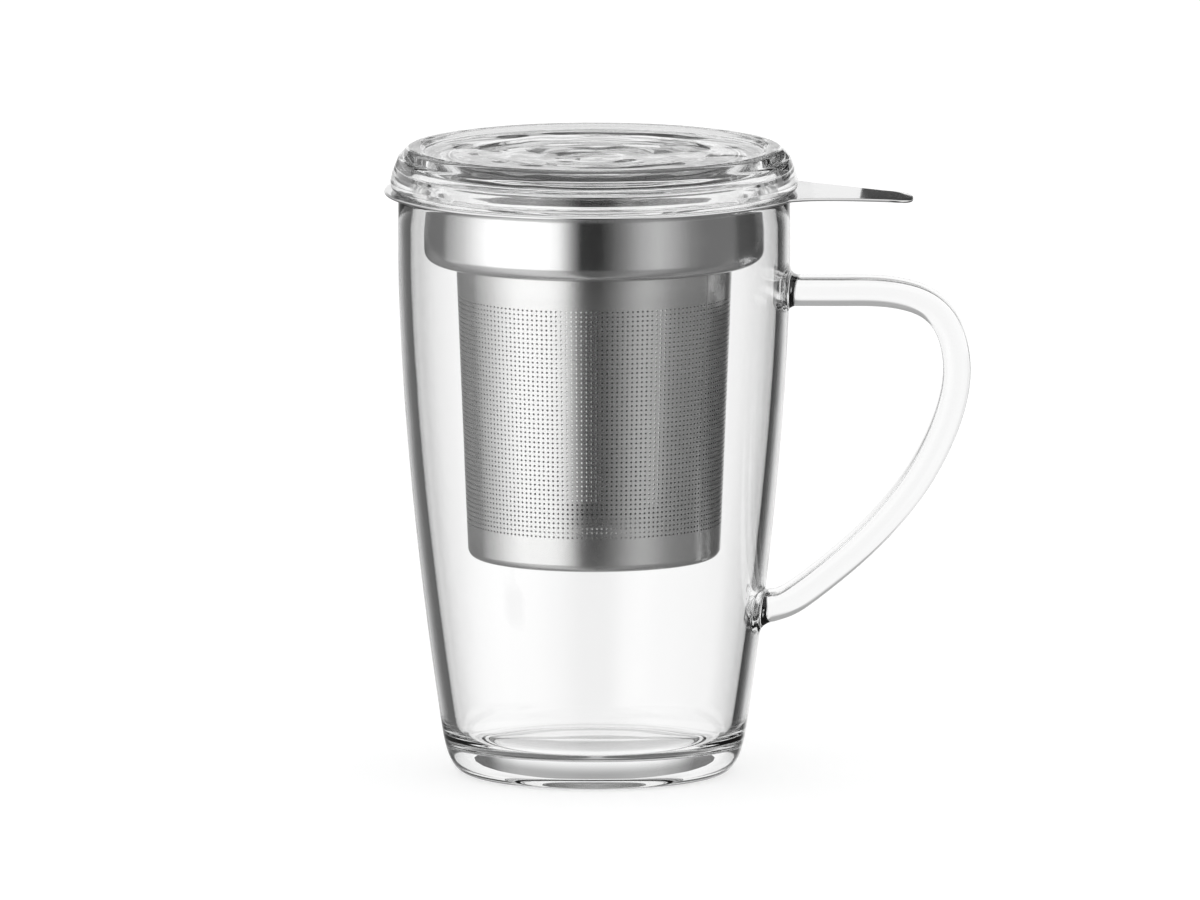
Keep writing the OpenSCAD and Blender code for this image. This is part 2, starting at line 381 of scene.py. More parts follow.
def section(hw, ht, r, crown=0.12):
    """Outline of the bar [(across, in plane)] and its outward normals."""
    pts, nor = [], []
    cs = [(hw - r, ht - r, 0), (r - hw, ht - r, 90), (r - hw, r - ht, 180), (hw - r, r - ht, 270)]
    for q, (cx, cy, a0) in enumerate(cs):
        for k in range(8):
            a = math.radians(a0 + 90 * (k + 0.5) / 8)
            pts.append((cx + r * math.cos(a), cy + r * math.sin(a)))
            nor.append((math.cos(a), math.sin(a)))
        nx, ny = cs[(q + 1) % 4][:2]
        wide = q % 2 == 0
        a = math.radians(a0 + 90)
        sx, sy = cx + r * math.cos(a), cy + r * math.sin(a)
        ex, ey = nx + r * math.cos(a), ny + r * math.sin(a)
        m = 8 if wide else 3
        for k in range(m):
            t = (k + 0.5) / m
            lift = crown * 4 * t * (1 - t)
            pts.append((sx + (ex - sx) * t + lift * math.cos(a), sy + (ey - sy) * t + lift * math.sin(a)))
            nor.append((math.cos(a), math.sin(a)))
    return pts, nor


def ease(t):
    t = min(max(t, 0.0), 1.0)
    return t * t * (3 - 2 * t)


def frame_at(q):
    c = bar_at(q)
    d = bar_at(min(q + 0.05, bar_len)) - bar_at(max(q - 0.05, 0))
    d = d / np.linalg.norm(d)
    return c, d


# where the bar's middle meets the wall at either root
q = 0.0
while bar_at(q)[0] < wall_x(0, bar_at(q)[1]):
    q += 0.01
q_top = q
q = bar_len
while bar_at(q)[0] < wall_x(0, bar_at(q)[1]):
    q -= 0.01
q_low = q

bar_rings = []


def bar_ring(q, root=None, alpha=None):
    t = (q - q_top) / (q_low - q_top)
    w = bar_w_top + (bar_w_low - bar_w_top) * t
    pts, nor = section(w / 2, bar_t / 2, bar_r)
    c, d = frame_at(q)
    ring = []
    for (a, b), (na, nb) in zip(pts, nor):
        g = u = 0.0
        if alpha is not None:
            up = nb if root == 0 else -nb  # the in-plane normal turns over along the path
            if root == 0:
                R = 2.0 + 0.5 * nb if nb > 0 else 2.0 + 0.5 * nb
            else:
                R = 1.9 + 1.1 * nb if nb > 0 else 1.9 + 1.0 * nb
            g = R * (1 - math.sin(alpha))
            u = R * (1 - math.cos(alpha))
        a2, b2 = a + na * g, b + nb * g
        x = c[0] - d[1] * b2
        z = c[1] + d[0] * b2
        y = a2
        ring.append([x, y, z, u])
    return ring


def conform(ring, root, share, base):
    """Shifts a ring's points along X so that it follows the round wall."""
    out = []
    for x, y, z, u in ring:
        dx = wall_x(y, z) - base
        out.append([x + dx * share, y, z, u])
    return out


ARC = [math.radians(a) for a in (0, 8, 16, 25, 34, 44, 54, 65, 77, 90)]
base_top = wall_x(0, bar_at(q_top)[1])
base_low = wall_x(0, bar_at(q_low)[1])
for al in ARC:
    ring = bar_ring(q_top, 0, al)
    ring = [[base_top + u, y, z, u] for x, y, z, u in ring]
    bar_rings.append([[x + (wall_x(y, z) - base_top), y, z] for x, y, z, u in ring])
n_mid = 150
q_a, q_b = q_top + 3.0, q_low - 3.4
for k in range(n_mid + 1):
    q = q_a + (q_b - q_a) * k / n_mid
    ring = bar_ring(q)
    su = 1 - ease((q - q_top) / 11.0)
    sl = 1 - ease((q_low - q) / 8.0)
    c = bar_at(q)
    res = []
    for x, y, z, u in ring:
        dx = 0.0
        if su > 0:
            dx += su * (wall_x(y, min(z, 112)) - base_top)
        if sl > 0:
            dx += sl * (math.sqrt(base_low**2 - y * y) - base_low + (z - bar_at(q_low)[1]) * 0.124)
        res.append([x + dx, y, z])
    bar_rings.append(res)
for al in reversed(ARC):
    ring = bar_ring(q_low, 1, al)
    c, d = frame_at(q_low)
    res = []
    for x, y, z, u in ring:
        res.append([wall_x(y, z) + u, y, z])
    bar_rings.append(res)

M = len(bar_rings[0])
bar_start = len(verts)
for ring in bar_rings:
    for x, y, z in ring:
        verts.append([x, y, z])

# faces of the turned body, leaving out the two patches where the bar grows out
first_outer = n_under
patches = []
for root, ring in ((0, bar_rings[0]), (1, bar_rings[-1])):
    zs = [p[2] for p in ring]
    ys = [abs(p[1]) for p in ring]
    lo, hi = min(zs) - 2.2, max(zs) + 2.2
    i0 = max(i for i in range(len(outer)) if outer[i][1] <= lo)
    i1 = min(i for i in range(len(outer)) if outer[i][1] >= hi)
    rr = wall_r((lo + hi) / 2)
    K = int(math.ceil((math.asin(max(ys) / rr) + 2.0 / rr) / (2 * math.pi / N)))
    patches.append((i0 + first_outer, i1 + first_outer, K, root))


def in_patch(i, k):
    kk = k if k < N / 2 else k - N
    return any(a <= i < b and -K <= kk < K for a, b, K, _ in patches)


for i in range(len(profile) - 1):
    a, b = ring_at[i], ring_at[i + 1]
    for k in range(N):
        k2 = (k + 1) % N
        if len(a) == 1:
            faces.append([a[0], b[k2], b[k]])
        elif len(b) == 1:
            faces.append([a[k], a[k2], b[0]])
        elif not in_patch(i, k):
            faces.append([a[k], a[k2], b[k2], b[k]])

for a, b, K, root in patches:
    ring_ids = [bar_start + (0 if root == 0 else (len(bar_rings) - 1) * M) + j for j in range(M)]
    ref = wall_r((profile[a][1] + profile[b][1]) / 2)
    pts, ids = [], []

    def put(y, z, vid=None):
        pts.append(Vector((math.asin(y / wall_r(z)) * ref, z)))
        if vid is None:
            r = wall_r(z)
            verts.append([math.sqrt(r * r - y * y), y, z])
            vid = len(verts) - 1
        ids.append(vid)
        return len(pts) - 1

    def put_grid(i, kk):
        r, z = profile[i]
        t = 2 * math.pi * kk / N
        pts.append(Vector((t * ref, z)))
        ids.append(ring_at[i][kk % N])
        return len(pts) - 1

    border = [put_grid(a, kk) for kk in range(-K, K)]
    border += [put_grid(i, K) for i in range(a, b)]
    border += [put_grid(b, kk) for kk in range(K, -K, -1)]
    border += [put_grid(i, -K) for i in range(b, a, -1)]
    foot = [put(verts[v][1], verts[v][2], v) for v in ring_ids]
    cy = 0.0
    cz = sum(verts[v][2] for v in ring_ids) / M
    footprint = [(pts[j].x, pts[j].y) for j in foot]

    def grown(g):
        out = []
        m = len(footprint)
        for j in range(m):
            (x0, y0), (x1, y1) = footprint[j - 1], footprint[(j + 1) % m]
            tx, ty = x1 - x0, y1 - y0
            L = math.hypot(tx, ty)
            nx, ny = ty / L, -tx / L
            px, py = footprint[j]
            if (px) * nx + (py - cz) * ny < 0:
                nx, ny = -nx, -ny
            out.append((px + nx * g, py + ny * g))
        return out

    def inside(poly, x, y):
        c = False
        m = len(poly)
        for j in range(m):
            (x0, y0), (x1, y1) = poly[j], poly[(j + 1) % m]
            if (y0 > y) != (y1 > y) and x < (x1 - x0) * (y - y0) / (y1 - y0) + x0:
                c = not c
        return c

    for g in (0.45, 1.05):
        for x, z in grown(g):
            put(wall_r(z) * math.sin(x / ref), z)
    keep_out = grown(1.5)
    for i in range(a + 1, b):
        for kk in range(-K + 1, K):
            x, z = 2 * math.pi * kk / N * ref, profile[i][1]
            if not inside(keep_out, x, z):
                put_grid(i, kk)
    edges = [(border[j], border[(j + 1) % len(border)]) for j in range(len(border))]
    edges += [(foot[j], foot[(j + 1) % M]) for j in range(M)]
    vs, es, fs, ov, oe, of_ = delaunay_2d_cdt(pts, edges, [], 0, 1e-5)
    back = []
    for j, o in enumerate(ov):
        back.append(ids[o[0]])
    box = [(pts[j].x, pts[j].y) for j in border]
    for f in fs:
        x = sum(vs[j].x for j in f) / 3
        z = sum(vs[j].y for j in f) / 3
        if inside(footprint, x, z) or not inside(box, x, z):
            continue
        tri = [back[j] for j in f]
        p0, p1, p2 = (np.array(verts[t]) for t in tri)
        nrm = np.cross(p1 - p0, p2 - p0)
        if nrm @ np.array([1.0, 0, 0]) < 0:
            tri.reverse()
        faces.append(tri)

for s_ in range(len(bar_rings) - 1):
    for j in range(M):
        j2 = (j + 1) % M
        a0, b0 = bar_start + s_ * M, bar_start + (s_ + 1) * M
        faces.append([a0 + j, b0 + j, b0 + j2, a0 + j2])

mug = make("mug_glass_body", verts, faces, [mat_mug], sharp=50.0)
import bmesh
bm = bmesh.new()
bm.from_mesh(mug.data)
bmesh.ops.recalc_face_normals(bm, faces=bm.faces)
open_edges = sum(1 for e in bm.edges if len(e.link_faces) != 2)
loose = sum(1 for v in bm.verts if not v.link_faces)
bmesh.ops.delete(bm, geom=[v for v in bm.verts if not v.link_faces], context="VERTS")
bm.to_mesh(mug.data)
vol = bm.calc_volume(signed=True)
bm.free()
print("mug: open edges", open_edges, "loose", loose, "volume cm3", vol * 1e6, "tris", sum(len(p.vertices) - 2 for p in mug.data.polygons))
if vol < 0:
    mug.data.flip_normals()
mug.data.polygons.foreach_set("use_smooth", [True] * len(mug.data.polygons))
mug.data.update()
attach(mug, "mug")
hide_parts("mug_body", "mug_handle")


# ------------------------------------------------------------------- lid
def turn(name, profile, mats, n=N, wobble=None, sharp=50.0):
    """A solid of revolution; the profile starts and ends on the axis or is a closed loop."""
    verts, faces, rows = [], [], []
    for r, z in profile:
        if r < 1e-6:
            rows.append([len(verts)])
            verts.append([0.0, 0.0, z])
        else:
            rows.append(list(range(len(verts), len(verts) + n)))
            for k in range(n):
                t = 2 * math.pi * k / n
                verts.append([r * math.cos(t), r * math.sin(t), z])
    closed = len(rows[0]) > 1
    m = len(rows)
    for i in range(m if closed else m - 1):
        a, b = rows[i], rows[(i + 1) % m]
        for k in range(n):
            k2 = (k + 1) % n
            if len(a) == 1:
                faces.append([a[0], b[k2], b[k]])
            elif len(b) == 1:
                faces.append([a[k], a[k2], b[0]])
            else:
                faces.append([a[k], a[k2], b[k2], b[k]])
    if wobble:
        for i, v in enumerate(verts):
            v[2] += wobble(*v)
    return make(name, verts, faces, mats, sharp=sharp)


z0 = seat_z
lid_top = [(3.0 * i, z0 + 6.9 + 1.1 * (i / 8) ** 2) for i in range(9)]
lid_profile = rounded(
    [(x, z) for x, z in lid_top]
    + [(25.2, z0 + 8.25, 1.5), (36.4, z0 + 8.35, 1.2), (37.3, z0 + 9.2, 0.9), (38.6, z0 + 9.3, 1.0),
       (40.0, z0 + 9.2, 2.0), (42.0, z0 + 7.2, 2.5), (43.3, z0 + 3.9, 2.0), (43.7, z0 + 2.1, 1.2), (43.7, z0 + 0.9, 0.8), (42.6, z0 + 0.05, 0.8),
       (39.9, z0 + 0.05, 0.3), (39.1, z0 + 0.7, 0.5), (38.6, z0 + 3.3, 1.0), (37.6, z0 + 4.4, 0.6), (36.6, z0 + 4.4, 0.6),
       (35.7, z0 + 3.4, 0.8), (35.2, z0 - 2.7, 0.6), (34.4, z0 - 3.5, 0.6), (33.0, z0 - 3.5, 0.6), (32.2, z0 - 2.7, 0.6),
       (31.6, z0 + 3.6, 1.0), (30.4, z0 + 4.8, 1.0), (25.0, z0 + 4.7)]
    + [(4.0 * i, z0 + 3.5 + 1.3 * (i / 6) ** 2) for i in (5, 4, 3, 2, 1, 0)], run=1.6, step=10.0)


def lid_wobble(x, y, z):
    """Pressed glass is uneven: soft rings and swirls, strongest in the middle."""
    r = math.hypot(x, y)
    if r > 35.0 or z < z0 + 2.0:
        return 0.0
    k = min(1.0, (35.0 - r) / 5.0)
    swirl = 0.26 * wave(x, y, 0.0, 11.0, 3.1) + 0.16 * wave(x + y, y - x, 0.0, 9.0, 1.7)
    if z < z0 + 6.0:
        return k * (swirl + 0.13 * math.cos(2 * math.pi * r / 6.2 + 1.2 * wave(x, y, 0.0, 14.0, 5.0)))
    return k * (0.7 * swirl + 0.07 * math.cos(2 * math.pi * r / 8.0))


lid = turn("lid_glass_body", lid_profile, [mat_lid], wobble=lid_wobble)
print("lid tris", sum(len(p.vertices) - 2 for p in lid.data.polygons))
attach(lid, "lid")
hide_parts("lid")

# --------------------------------------------------- collar, flange and tab
def tab_half(x):
    return 16.5 - 9.2 * ((x - 43) / 20.5) ** 0.62 if x > 43 else 16.5


def outline():
    """Edge of the flange and the tab, round from the tab's tip, [(x, y)]."""
    half = [(tab_x - 5 + 5 * math.cos(a) ** 0.62, 7.3 * math.sin(a) ** 0.8) for a in np.linspace(0, math.pi / 2 - 1e-6, 25)]
    half += [(x, tab_half(x)) for x in np.linspace(63.5, 44.2, 40)[1:]]
    x1, y1 = half[-1]
    a1 = math.atan2(y1, x1) + math.radians(1.2)
    # a soft inside corner where the tab leaves the round flange
    t = np.array([44.2 - 45.0, tab_half(44.2) - tab_half(45.0)])
    t /= np.linalg.norm(t)
    e = np.array([flange_r * math.cos(a1 + 0.05), flange_r * math.sin(a1 + 0.05)])
    te = np.array([-math.sin(a1 + 0.05), math.cos(a1 + 0.05)])
    half += bezier((x1, y1), tuple(np.array([x1, y1]) + t * 1.0), tuple(e - te * 1.0), tuple(e), 8)[1:]
    a_end = a1 + 0.05
    rest = np.linspace(a_end, math.pi, 118)[1:]
    half += [(flange_r * math.cos(a), flange_r * math.sin(a)) for a in rest]
    return half + [(x, -y) for x, y in half[-2:0:-1]]


edge = outline()
E = len(edge)
edge_n = []
for k in range(E):
    (x0, y0), (x1, y1) = edge[k - 1], edge[(k + 1) % E]
    L = math.hypot(x1 - x0, y1 - y0)
    edge_n.append(((y1 - y0) / L, -(x1 - x0) / L))


def drop(x):
    return tab_drop * (max(0.0, (x - 42) / (tab_x - 42))) ** 1.3


t_, r_, zt, zl = steel_t, collar_r, seat_z, ledge_z
rn = sleeve_r_top - 0.35 - 0.05
# inside of the collar from the neck up to the flange, then the edge, then back down the outside
inside_line = rounded([(rn - 0.35, zl - 2.4), (rn - 0.35, zl + t_, 0.5), (r_ - t_, zl + t_, 2.4), (r_ - t_, zt, 1.2), (38.6, zt)], run=1.5, step=9.0)
outside_line = rounded([(38.6, zt - t_), (r_, zt - t_, 1.8), (r_, zl, 3.0), (rn, zl, 0.05), (rn, zl - 2.4)], run=1.5, step=9.0)
inner_rows = len(inside_line)
verts, faces, mat_index = [], [], []
rows = []
for r, z in inside_line:
    row = []
    for x, y in edge:
        L = math.hypot(x, y)
        row.append(len(verts))
        verts.append([r * x / L, r * y / L, z])
    rows.append(row)
for j in range(1, 15):
    row = []
    for (x, y), (nx, ny) in zip(edge, edge_n):
        L = math.hypot(x, y)
        bx, by = 38.6 * x / L, 38.6 * y / L
        ex, ey = x - nx * 0.22, y - ny * 0.22
        t = j / 14
        px, py = bx + (ex - bx) * t, by + (ey - by) * t
        row.append(len(verts))
        verts.append([px, py, zt - drop(px)])
    rows.append(row)
for inset, dz in ((0.12, 0.03), (0.03, 0.12), (0.0, 0.25), (0.0, 0.38), (0.04, 0.5), (0.12, 0.57)):
    row = []
    for (x, y), (nx, ny) in zip(edge, edge_n):
        px, py = x - nx * inset, y - ny * inset
        row.append(len(verts))
        verts.append([px, py, zt - drop(px) - dz])
    rows.append(row)
for j in range(14, -1, -1):
    row = []
    for (x, y), (nx, ny) in zip(edge, edge_n):
        L = math.hypot(x, y)
        bx, by = 38.6 * x / L, 38.6 * y / L
        ex, ey = x - nx * 0.22, y - ny * 0.22
        t = j / 14
        px, py = bx + (ex - bx) * t, by + (ey - by) * t
        row.append(len(verts))
        verts.append([px, py, zt - t_ - drop(px)])
    rows.append(row)
for r, z in outside_line[1:]:
    row = []
    for x, y in edge:
        L = math.hypot(x, y)
        row.append(len(verts))
        verts.append([r * x / L, r * y / L, z])
    rows.append(row)
m = len(rows)
for i in range(m):
    a, b = rows[i], rows[(i + 1) % m]
    for k in range(E):
        k2 = (k + 1) % E
        faces.append([a[k], a[k2], b[k2], b[k]])
        # rows inside the collar take the darker steel copy, painted shade; the rest is collar or tab
        mat_index.append(2 if i < inner_rows - 4 else 1 if verts[a[k]][0] > 46.5 else 0)
collar = make("infuser_collar_steel", verts, faces, [mat_collar, mat_tab, mat_bowl_painted_shade], mat_index, sharp=55.0)
print("collar tris", 2 * len(faces))
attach(collar, "infuser")
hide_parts("infuser_collar")

# ------------------------------------------------------- perforated sleeve
SEAM = math.radians(-36.0)
COLS, ROWS = 168, 49
strip = 0.42 / 28.4
pitch = (2 * math.pi - strip) / COLS
Z_TOP, Z_BOT = 103.4, 54.6
dz = (Z_TOP - Z_BOT) / (ROWS - 1)
skin = 0.35
hole_r = 0.25


def sleeve_r(z):
    z_a = ledge_z - 3
    if z >= z_a:
        return sleeve_r_top
    return sleeve_r_low + (sleeve_r_top - sleeve_r_low) * (z - sleeve_low) / (z_a - sleeve_low)


lean = math.atan((sleeve_r_top - sleeve_r_low) / (ledge_z - 3 - sleeve_low))
above = [ledge_z, ledge_z - 1.2, ledge_z - 3, ledge_z - 5]
below = [52.6, 51.0, 50.0, 49.2, sleeve_low]
edges_z = [Z_TOP + dz / 2 - k * dz / 2 for k in range(2 * ROWS + 1)]  # half-cell rows
SECT = 3


def sleeve_piece(s):
    c0, c1 = COLS * s // SECT, COLS * (s + 1) // SECT
    th0 = SEAM + strip / 2
    cols = [th0 + (c0 + k / 2) * pitch for k in range(2 * (c1 - c0) + 1)]
    zs = above + edges_z + below
    i0 = len(above)
    seam_cols = []
    if s == SECT - 1:  # the welded seam, a fine groove between two raised lips
        for f, d in ((0.25, 0.02), (0.38, -0.02), (0.5, -0.11), (0.62, -0.02), (0.75, 0.02), (1.0, 0.0)):
            seam_cols.append((cols[-1] + strip * f, d))
    all_cols = [(c, 0.0) for c in cols] + seam_cols
    verts, normals, faces, fn = [], [], [], []
    deep = set()

    def add(t, z, depth, inner=False):
        r = sleeve_r(z) + depth
        if depth < -0.2:
            deep.add(len(verts))
        verts.append([r * math.cos(t), r * math.sin(t), z])
        return len(verts) - 1

    grids = []
    for layer in (0, 1):
        g = []
        for z in zs:
            g.append([add(t, z, (d if layer == 0 and 50.6 < z else 0.0) - layer * skin) for t, d in all_cols])
        grids.append(g)

    def nrm(v, layer):
        x, y, z = verts[v]
        L = math.hypot(x, y)
        tilt = lean if z < ledge_z - 3 else 0.0
        n = np.array([x / L * math.cos(tilt), y / L * math.cos(tilt), -math.sin(tilt)])
        return n if layer == 0 else -n

    def quad(layer, a, b, c, d):
        """Corners go round anticlockwise as seen from outside the sleeve."""
        f = [a, b, c, d] if layer == 0 else [d, c, b, a]
        faces.append(f)
        fn.append([nrm(v, layer) for v in f])

    n_c = len(cols)
    for layer in (0, 1):
        g = grids[layer]
        for i in range(len(zs) - 1):
            band = i0 <= i < i0 + 2 * ROWS
            for k in range(len(all_cols) - 1):
                if band and k < n_c - 1:
                    continue
                quad(layer, g[i + 1][k], g[i + 1][k + 1], g[i][k + 1], g[i][k])
    rings = []
    for layer in (0, 1):
        g = grids[layer]
        out = []
        for i in range(ROWS):
            zc = Z_TOP - i * dz
            a = i0 + 2 * i
            for k in range((n_c - 1) // 2):
                tc = cols[2 * k + 1]
                r = sleeve_r(zc) - layer * skin
                ring = []
                for j in range(8):
                    an = math.radians(45 * j)
                    ring.append(add(tc + hole_r * math.cos(an) / r, zc + hole_r * math.sin(an), -layer * skin))
                border = [g[a + 1][2 * k + 2], g[a][2 * k + 2], g[a][2 * k + 1], g[a][2 * k],
                          g[a + 1][2 * k], g[a + 2][2 * k], g[a + 2][2 * k + 1], g[a + 2][2 * k + 2]]
                for j in range(8):
                    j2 = (j + 1) % 8
                    quad(layer, border[j], border[j2], ring[j2], ring[j])
                out.append((tc, zc, ring))
        rings.append(out)
    for (tc, zc, ro), (_, _, ri) in zip(*rings):
        rad = np.array([math.cos(tc), math.sin(tc), 0.0])
        tan = np.array([-math.sin(tc), math.cos(tc), 0.0])
        for j in range(8):
            j2 = (j + 1) % 8
            faces.append([ro[j], ro[j2], ri[j2], ri[j]])
            n1 = -(tan * math.cos(math.radians(45 * j)) + np.array([0, 0, math.sin(math.radians(45 * j))]))
            n2 = -(tan * math.cos(math.radians(45 * j2)) + np.array([0, 0, math.sin(math.radians(45 * j2))]))
            fn.append([n1, n2, n2, n1])
    # top, bottom and the two cut sides
    g0, g1 = grids
    top, bot = np.array([0, 0, 1.0]), np.array([0, 0, -1.0])
    for k in range(len(all_cols) - 1):
        faces.append([g0[0][k], g0[0][k + 1], g1[0][k + 1], g1[0][k]])
        fn.append([top] * 4)
        faces.append([g0[-1][k + 1], g0[-1][k], g1[-1][k], g1[-1][k + 1]])
        fn.append([bot] * 4)
    for k, sgn in ((0, -1), (len(all_cols) - 1, 1)):
        t = all_cols[k][0]
        n = np.array([-math.sin(t), math.cos(t), 0]) * sgn
        for i in range(len(zs) - 1):
            f = [g0[i][k], g1[i][k], g1[i + 1][k], g0[i + 1][k]]
            faces.append(f if sgn < 0 else f[::-1])
            fn.append([n] * 4)
    # faces of the inner skin take the darker steel copy, painted shade
    inner_painted_shade_index = [1 if all(v in deep for v in f) or len(set(f) & deep) >= 2 else 0 for f in faces]
    ob = make("basket_sleeve_" + "abc"[s], verts, faces, [mat_sleeve, mat_inner_painted_shade], inner_painted_shade_index, sharp=None, flip=False)
    me = ob.data
    if len(me.polygons) == len(faces):
        # the first corner of each face keeps its place, so the normals line up
        flat = [tuple(n) for f in fn for n in f]
        me.set_sharp_from_angle(angle=math.radians(60))
        me.normals_split_custom_set(flat)
    bm = bmesh.new()
    bm.from_mesh(me)
    print(ob.name, "polys", len(faces), len(me.polygons), "open", sum(1 for e in bm.edges if len(e.link_faces) != 2), "vol", bm.calc_volume(signed=True) * 1e9)
    bm.free()
    return ob


for s in range(SECT):
    ob = sleeve_piece(s)
    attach(ob, "infuser")
    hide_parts("basket_sleeve")

# --------------------------------------------------------- perforated base
def base_piece():
    r, c, t = sleeve_r_low, 1.6, 0.4
    cell = 1.1
    R_HOLES = 23.4
    half = int(R_HOLES / cell)

    def bottom(rad, layer):
        """Height of the dished disc."""
        return basket_z + 0.8 - 0.5 * min(1.0, rad / (r - 6)) ** 2 + (t if layer else 0.0)

    verts, faces = [], []
    inside_cells = [(i, j) for i in range(-half - 1, half + 1) for j in range(-half - 1, half + 1)
                    if max(math.hypot((i + a) * cell, (j + b) * cell) for a in (0, 1) for b in (0, 1)) < R_HOLES]
    cellset = set(inside_cells)
    rim_line = [(r - 1.6 + 1.6 * math.sin(a), basket_z + 1.6 - 1.6 * math.cos(a)) for a in np.linspace(0, math.pi / 2, 9)]
    n = 160
    circ = [2 * math.pi * k / n for k in range(n)]
    R0 = r - 2.6
    layers = []
    for layer in (0, 1):
        corner = {}

        def cv(i2, j2):
            """Vertex at half-cell grid place (i2, j2)."""
            if (i2, j2) not in corner:
                x, y = i2 * cell / 2, j2 * cell / 2
                corner[(i2, j2)] = len(verts)
                verts.append([x, y, bottom(math.hypot(x, y), layer)])
            return corner[(i2, j2)]

        rings = []
        for i, j in inside_cells:
            cx, cy = (i + 0.5) * cell, (j + 0.5) * cell
            border = [cv(2 * i + 2, 2 * j + 1), cv(2 * i + 2, 2 * j + 2), cv(2 * i + 1, 2 * j + 2), cv(2 * i, 2 * j + 2),
                      cv(2 * i, 2 * j + 1), cv(2 * i, 2 * j), cv(2 * i + 1, 2 * j), cv(2 * i + 2, 2 * j)]
            ring = []
            for k in range(8):
                a = math.radians(45 * k)
                x, y = cx + hole_r * math.cos(a), cy + hole_r * math.sin(a)
                ring.append(len(verts))
                verts.append([x, y, bottom(math.hypot(x, y), layer)])
            for k in range(8):
                k2 = (k + 1) % 8
                f = [border[k], border[k2], ring[k2], ring[k]]
                faces.append(f if layer else f[::-1])
            rings.append(ring)
        # from the stepped edge of the cells to a circle
        count = {}
        for i, j in inside_cells:
            for a, b in (((2 * i, 2 * j), (2 * i + 1, 2 * j)), ((2 * i + 1, 2 * j), (2 * i + 2, 2 * j)),
                         ((2 * i + 2, 2 * j), (2 * i + 2, 2 * j + 1)), ((2 * i + 2, 2 * j + 1), (2 * i + 2, 2 * j + 2)),
                         ((2 * i + 2, 2 * j + 2), (2 * i + 1, 2 * j + 2)), ((2 * i + 1, 2 * j + 2), (2 * i, 2 * j + 2)),
                         ((2 * i, 2 * j + 2), (2 * i, 2 * j + 1)), ((2 * i, 2 * j + 1), (2 * i, 2 * j))):
                key = (min(a, b), max(a, b))
                count[key] = count.get(key, 0) + 1
        ring0 = []
        for a in circ:
            ring0.append(len(verts))
            verts.append([R0 * math.cos(a), R0 * math.sin(a), bottom(R0, layer)])
        pts, ids, at = [], [], {}
        for v in {v for key, c_ in count.items() if c_ == 1 for v in key}:
            at[v] = len(pts)
            pts.append(Vector((verts[corner[v]][0], verts[corner[v]][1])))
            ids.append(corner[v])
        edges = [(at[k[0]], at[k[1]]) for k, c_ in count.items() if c_ == 1]
        base = len(pts)
        for v in ring0:
            pts.append(Vector((verts[v][0], verts[v][1])))
            ids.append(v)
        edges += [(base + k, base + (k + 1) % n) for k in range(n)]
        vs, es, fs, ov, oe, of_ = delaunay_2d_cdt(pts, edges, [], 0, 1e-5)
        for f in fs:
            x = sum(vs[q].x for q in f) / 3
            y = sum(vs[q].y for q in f) / 3
            if (math.floor(x / cell), math.floor(y / cell)) in cellset or math.hypot(x, y) > R0:
                continue
            tri = [ids[ov[q][0]] for q in f]
            faces.append(tri if layer else tri[::-1])
        layers.append((rings, ring0))
    for a, b in zip(layers[0][0], layers[1][0]):
        for k in range(8):
            k2 = (k + 1) % 8
            faces.append([a[k2], a[k], b[k], b[k2]])
    # rounded edge and the upstand inside the sleeve
    ru = r - 0.37
    line_out = [(R0, bottom(R0, 0))] + [(r - 0.05 - 1.75 + 1.75 * math.sin(a), basket_z + 1.75 - 1.75 * math.cos(a)) for a in np.linspace(0.02, math.pi / 2, 10)]
    line_out = [p for p in line_out]
    line_out += [(r - 0.05, sleeve_low - 0.04), (ru, sleeve_low - 0.04), (ru, sleeve_low + 2.6), (ru - t, sleeve_low + 2.6),
                 (ru - t, sleeve_low + 0.6)]
    line_out += [(ru - t - 1.5 + 1.5 * math.cos(a), basket_z + t + 0.5 + 1.5 - 1.5 * math.sin(a)) for a in np.linspace(0.1, math.pi / 2, 7)]
    prev = layers[0][1]
    for rr, zz in line_out[1:]:
        row = []
        for a in circ:
            row.append(len(verts))
            verts.append([rr * math.cos(a), rr * math.sin(a), zz])
        for k in range(n):
            k2 = (k + 1) % n
            faces.append([prev[k2], prev[k], row[k], row[k2]][::-1])
        prev = row
    last = layers[1][1]
    for k in range(n):
        k2 = (k + 1) % n
        faces.append([prev[k2], prev[k], last[k], last[k2]][::-1])
    ob = make("basket_base_disc", verts, faces, [mat_sleeve], sharp=40.0, flip=False)
    bm = bmesh.new()
    bm.from_mesh(ob.data)
    bmesh.ops.recalc_face_normals(bm, faces=bm.faces)
    if bm.calc_volume(signed=True) < 0:
        bmesh.ops.reverse_faces(bm, faces=bm.faces)
    print("base: polys", len(faces), len(ob.data.polygons), "open", sum(1 for e in bm.edges if len(e.link_faces) != 2), "vol", bm.calc_volume(signed=True) * 1e9)
    bm.to_mesh(ob.data)
    bm.free()
    ob.data.polygons.foreach_set("use_smooth", [True] * len(ob.data.polygons))
    ob.data.set_sharp_from_angle(angle=math.radians(40))
    return ob


base = base_piece()
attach(base, "infuser")
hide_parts("basket_base")

# ------------------------------------------------------------------ studio
def plane(name, verts, faces, mat):
    me = bpy.data.meshes.new(name)
    me.from_pydata(verts, [], faces)
    me.materials.append(mat)
    ob = bpy.data.objects.new(name, me)
    bpy.context.scene.collection.objects.link(ob)
    return ob


